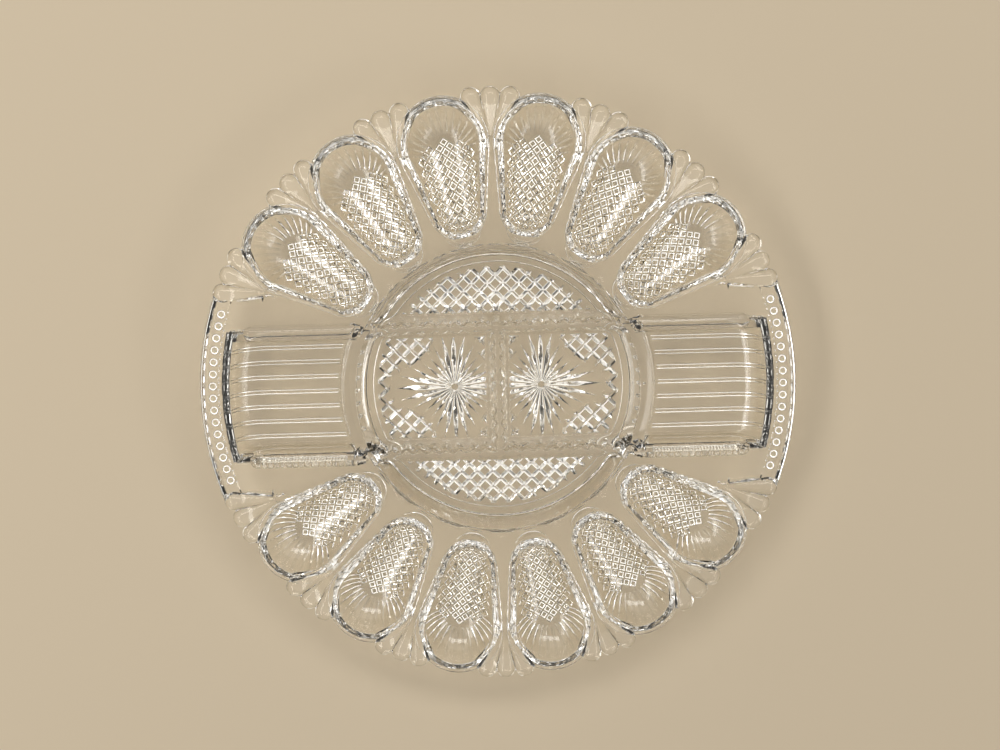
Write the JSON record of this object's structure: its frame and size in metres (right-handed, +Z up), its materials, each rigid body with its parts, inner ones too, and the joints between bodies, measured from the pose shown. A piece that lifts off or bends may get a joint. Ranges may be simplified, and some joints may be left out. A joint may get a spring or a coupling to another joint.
{
  "type": "deviled egg platter",
  "caption": "Round clear pressed-glass serving platter with pear-shaped egg cups round a divided well, ribbed side troughs and beaded handles.",
  "frame": {"origin": "on the table under the middle of the plate, at the foot ring's underside", "axes": "+Z up out of the cups; +X through the middle of a handle; +Y through the middle of a row of cups"},
  "size_m": [0.2818, 0.2842, 0.0235],
  "materials": {
    "clear_glass": "clear pressed glass, fire polished",
    "cut_glass": "clear pressed glass with cut-style facets"
  },
  "bodies": {
    "root": {"foot_ring": "clear_glass", "well_wall": "clear_glass", "upper_floor": "cut_glass", "lower_floor": "cut_glass", "right_floor": "cut_glass", "left_floor": "cut_glass", "upper_divider": "clear_glass", "lower_divider": "clear_glass", "cross_divider": "clear_glass", "right_trough": "clear_glass", "left_trough": "clear_glass", "upper_right_rail": "clear_glass", "lower_right_rail": "clear_glass", "upper_left_rail": "clear_glass", "lower_left_rail": "clear_glass", "right_handle": "clear_glass", "left_handle": "clear_glass", "egg_cup_1": "clear_glass", "egg_cup_2": "clear_glass", "egg_cup_3": "clear_glass", "egg_cup_4": "clear_glass", "egg_cup_5": "clear_glass", "egg_cup_6": "clear_glass", "egg_cup_7": "clear_glass", "egg_cup_8": "clear_glass", "egg_cup_9": "clear_glass", "egg_cup_10": "clear_glass", "egg_cup_11": "clear_glass", "egg_cup_12": "clear_glass", "fan_1": "clear_glass", "fan_2": "clear_glass", "fan_3": "clear_glass", "fan_4": "clear_glass", "fan_5": "clear_glass", "fan_6": "clear_glass", "fan_7": "clear_glass", "fan_8": "clear_glass", "fan_9": "clear_glass", "fan_10": "clear_glass", "fan_11": "clear_glass", "fan_12": "clear_glass", "fan_13": "clear_glass", "fan_14": "clear_glass", "deck_web_1": "clear_glass", "deck_web_2": "clear_glass", "deck_web_3": "clear_glass", "deck_web_4": "clear_glass", "deck_web_5": "clear_glass", "deck_web_6": "clear_glass", "deck_web_7": "clear_glass", "deck_web_8": "clear_glass", "deck_web_9": "clear_glass", "deck_web_10": "clear_glass", "corner_deck_1": "clear_glass", "corner_deck_2": "clear_glass", "corner_deck_3": "clear_glass", "corner_deck_4": "clear_glass"}
  },
  "joints": []
}
